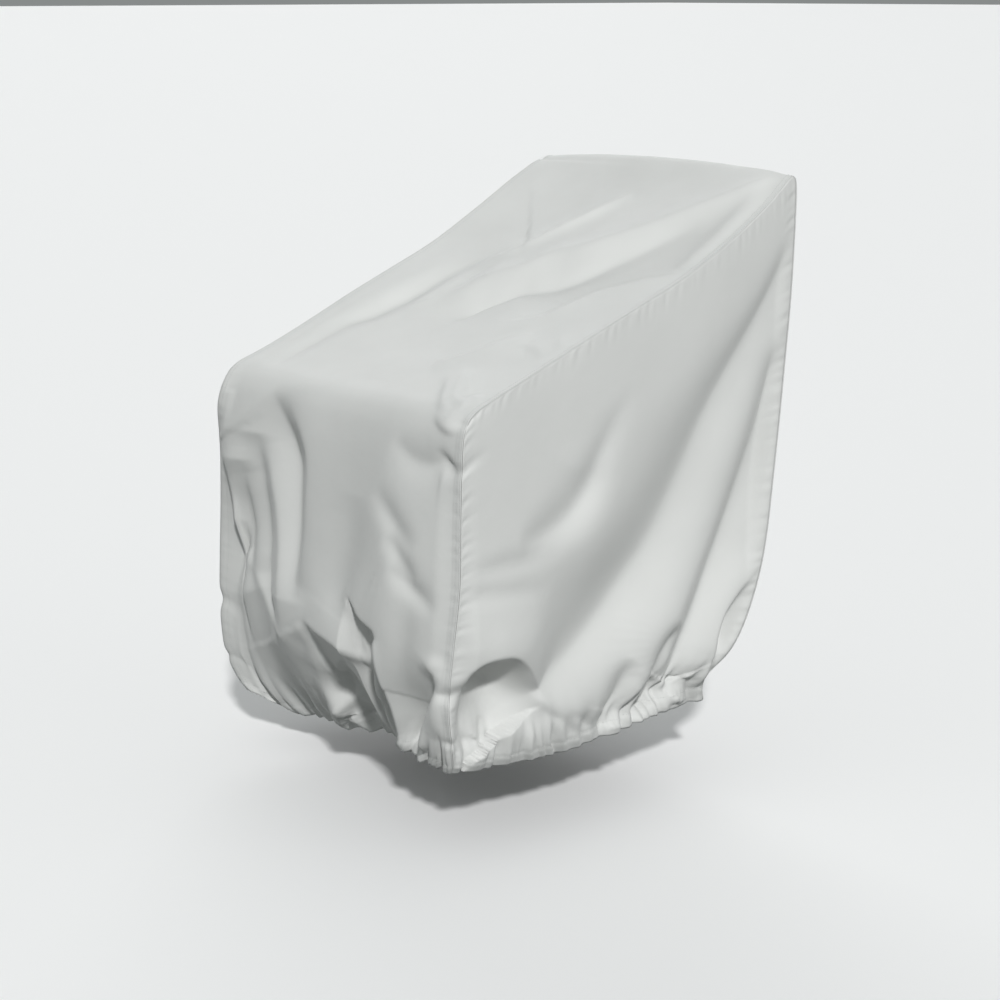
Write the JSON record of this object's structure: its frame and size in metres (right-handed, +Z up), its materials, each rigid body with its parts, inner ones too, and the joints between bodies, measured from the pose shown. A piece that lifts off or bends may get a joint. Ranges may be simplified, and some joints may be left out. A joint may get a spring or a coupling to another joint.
{
  "type": "lounge chair cover",
  "caption": "Fitted fabric cover for a high-backed lounge chair, draped with folds, open below with a gathered elastic hem.",
  "frame": {"origin": "underside of the cloth at the middle of the top ridge, where the top of the chair back carries the cover", "axes": "+Z up, +Y towards the back of the chair, +X to the right as seen from the front; the front faces -Y"},
  "size_m": [0.7044, 0.7357, 0.905],
  "materials": {
    "cloth": "silver-grey coated polyester, fine plain weave with a soft sheen"
  },
  "bodies": {
    "root": {"panel_main": "cloth", "panel_side_right": "cloth", "panel_side_left": "cloth"}
  },
  "joints": []
}
